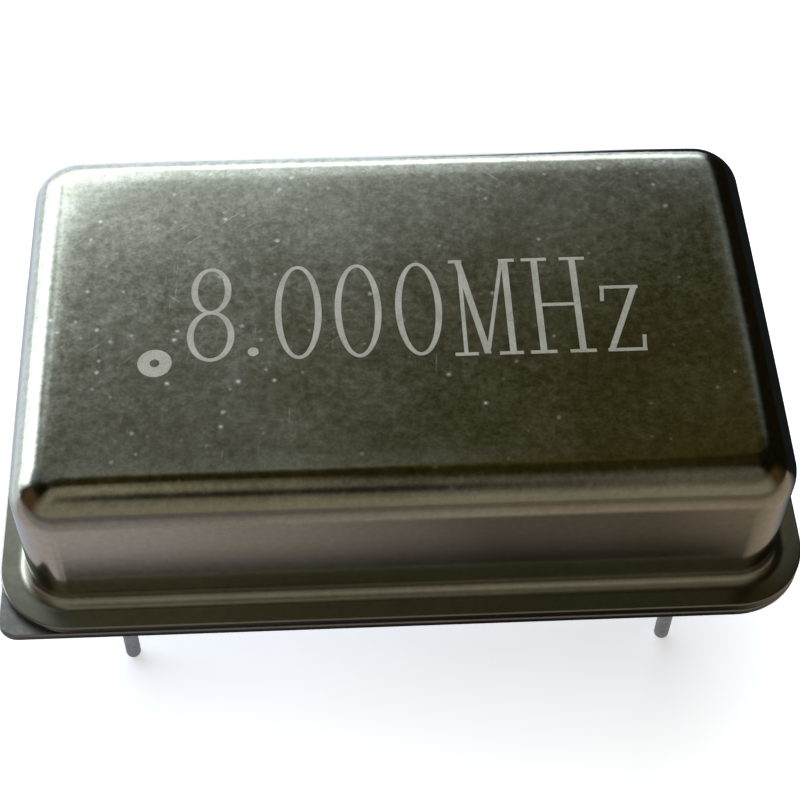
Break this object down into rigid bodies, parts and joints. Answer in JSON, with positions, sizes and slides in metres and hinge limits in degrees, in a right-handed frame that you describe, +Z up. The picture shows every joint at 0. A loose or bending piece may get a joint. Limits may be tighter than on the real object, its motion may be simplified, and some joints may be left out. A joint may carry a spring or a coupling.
{
  "type": "crystal oscillator",
  "caption": "Clock oscillator in a low welded metal can: a drawn cover with rounded edges on a flanged header with one square corner, standing on straight wire leads in a dual in-line grid.",
  "frame": {"origin": "centre of the lead pattern on the seating plane, which is the header's underside", "axes": "+X along the can's long side, +Z up from the seating plane to the top of the cover; the square corner beside lead 1 is at -X -Y"},
  "size_m": [0.0206, 0.0132, 0.0108],
  "materials": {
    "plated_cover": "satin nickel plate on drawn steel, fine mottle and light scratches",
    "plated_header": "satin nickel plate on a stamped plate",
    "lead_wire": "solder-dipped round wire",
    "seal_glass": "dark fused glass, glossy, set back from the header at its ends",
    "braze_metal": "set braze alloy, satin",
    "bond_epoxy": "cured epoxy film",
    "alumina": "white fired alumina, matt",
    "track_film": "fired silver-palladium film, matt",
    "resistor_film": "fired black resistor film",
    "silver_epoxy": "silver-filled epoxy",
    "silicon": "polished silicon",
    "gold_ribbon": "bright rolled gold",
    "capacitor_ceramic": "brown fired ceramic",
    "tin_plate": "matt tin plate",
    "clip_strip": "rolled nickel-silver spring strip",
    "quartz": "lapped quartz, frosted clear",
    "electrode_film": "bright silver film",
    "solder": "bright soft solder"
  },
  "bodies": {
    "root": {"cover": "plated_cover", "header": "plated_header", "lead_1": "lead_wire", "lead_7": "lead_wire", "lead_8": "lead_wire", "lead_14": "lead_wire", "glass_seal_1": "seal_glass", "glass_seal_8": "seal_glass", "glass_seal_14": "seal_glass", "ground_braze": "braze_metal", "substrate_bond": "bond_epoxy", "substrate": "alumina", "conductor_tracks": "track_film", "printed_resistor": "resistor_film", "die_bond": "silver_epoxy", "oscillator_die": "silicon", "bond_ribbons": "gold_ribbon", "capacitor_body": "capacitor_ceramic", "capacitor_terminals": "tin_plate", "crystal_clip_left": "clip_strip", "crystal_clip_right": "clip_strip", "quartz_blank": "quartz", "electrode_upper": "electrode_film", "electrode_lower": "electrode_film", "cement_left": "silver_epoxy", "cement_right": "silver_epoxy", "solder_joint_1": "solder", "solder_joint_7": "solder", "solder_joint_8": "solder", "solder_joint_14": "solder"}
  },
  "joints": []
}
